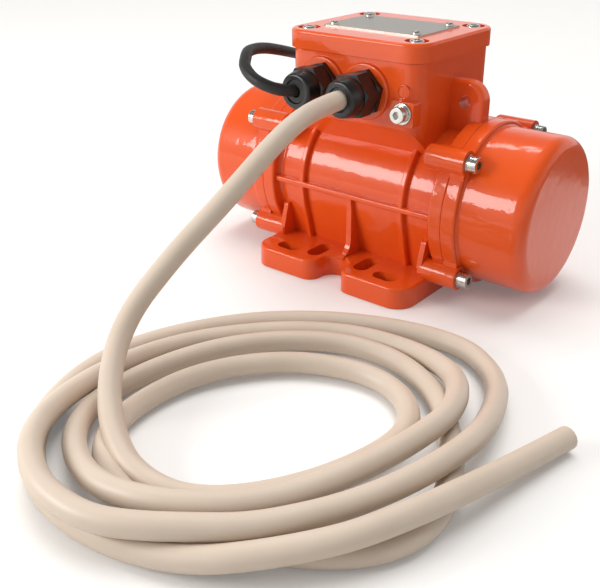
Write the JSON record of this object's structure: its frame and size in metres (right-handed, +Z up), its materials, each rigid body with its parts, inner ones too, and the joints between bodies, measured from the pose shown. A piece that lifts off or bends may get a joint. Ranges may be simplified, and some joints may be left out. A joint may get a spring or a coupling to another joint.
{
  "type": "vibration motor",
  "caption": "Foot-mounted vibration motor with end covers over eccentric weights, a terminal box with cable glands, a capacitor and a coiled mains cable.",
  "frame": {"origin": "centre of the foot's underside", "axes": "+X along the shaft, -Y towards the cable glands, +Z up"},
  "size_m": [0.2814, 0.3545, 0.1363],
  "materials": {
    "paint_red": "gloss",
    "zinc": "satin",
    "steel": "satin",
    "electrical_steel": "matt",
    "cast_aluminium": "satin",
    "plate_aluminium": "brushed",
    "copper_winding": "satin",
    "black_nylon": "matt",
    "beige_pvc": "satin",
    "black_rubber": "matt",
    "cast_iron": "matt",
    "ivory_plastic": "satin",
    "white_plastic": "satin",
    "brass_stud": "satin"
  },
  "bodies": {
    "base": {"bearing_outer_ring_left": "steel", "bearing_outer_ring_right": "steel", "bearing_shield_left": "cast_aluminium", "bearing_shield_right": "cast_aluminium", "capacitor": "white_plastic", "capacitor_clip": "zinc", "capacitor_clip_screw": "zinc", "capacitor_cord": "black_rubber", "capacitor_gland_body": "black_nylon", "capacitor_gland_locknut": "black_nylon", "capacitor_gland_nut": "black_nylon", "capacitor_gland_seal": "black_rubber", "cover_left": "paint_red", "cover_right": "paint_red", "cover_screws_left": "zinc", "cover_screws_right": "zinc", "cover_seal_left": "black_rubber", "cover_seal_right": "black_rubber", "cover_washers_left": "zinc", "cover_washers_right": "zinc", "earth_screw": "zinc", "earth_washers": "zinc", "housing": "paint_red", "lid_gasket": "black_rubber", "lid_screws": "zinc", "name_plate": "plate_aluminium", "plate_rivets": "zinc", "power_cord": "beige_pvc", "power_cord_coil": "beige_pvc", "power_cord_tail": "beige_pvc", "power_gland_body": "black_nylon", "power_gland_locknut": "black_nylon", "power_gland_nut": "black_nylon", "power_gland_seal": "black_rubber", "shield_ring_left": "steel", "shield_ring_right": "steel", "stator_core": "electrical_steel", "stator_windings": "copper_winding", "terminal_block": "ivory_plastic", "terminal_box_lid": "paint_red", "terminal_nuts": "brass_stud", "terminal_studs": "brass_stud"},
    "rotor": {"shaft": "steel", "weight_keys": "steel", "shaft_clips": "steel", "rotor_core": "electrical_steel", "rotor_end_rings": "cast_aluminium", "inner_weight_left": "cast_iron", "inner_weight_right": "cast_iron", "bearing_inner_ring_left": "steel", "bearing_inner_ring_right": "steel"},
    "outer_weight_left": {"outer_weight_left": "cast_iron", "weight_clamp_bolt_left": "zinc"},
    "ball_set_left": {"bearing_balls_left": "steel", "bearing_cage_left": "steel"},
    "outer_weight_right": {"outer_weight_right": "cast_iron", "weight_clamp_bolt_right": "zinc"},
    "ball_set_right": {"bearing_balls_right": "steel", "bearing_cage_right": "steel"}
  },
  "joints": [
    {"name": "rotor_spin", "type": "hinge", "parent": "base", "child": "rotor", "pos_m": [0, 0, 0.047], "axis": [1, 0, 0], "continuous": true},
    {"name": "ball_set_left_spin", "type": "hinge", "parent": "base", "child": "ball_set_left", "pos_m": [0, 0, 0.047], "axis": [1, 0, 0], "continuous": true},
    {"name": "outer_weight_left_setting", "type": "hinge", "parent": "rotor", "child": "outer_weight_left", "pos_m": [0, 0, 0.047], "axis": [1, 0, 0], "range_deg": [0, 180]},
    {"name": "ball_set_right_spin", "type": "hinge", "parent": "base", "child": "ball_set_right", "pos_m": [0, 0, 0.047], "axis": [1, 0, 0], "continuous": true},
    {"name": "outer_weight_right_setting", "type": "hinge", "parent": "rotor", "child": "outer_weight_right", "pos_m": [0, 0, 0.047], "axis": [1, 0, 0], "range_deg": [0, 180]}
  ],
  "couplings": [
    {"joint": "ball_set_left_spin", "follows": "rotor_spin", "ratio": 0.3842},
    {"joint": "ball_set_right_spin", "follows": "rotor_spin", "ratio": 0.3842}
  ]
}
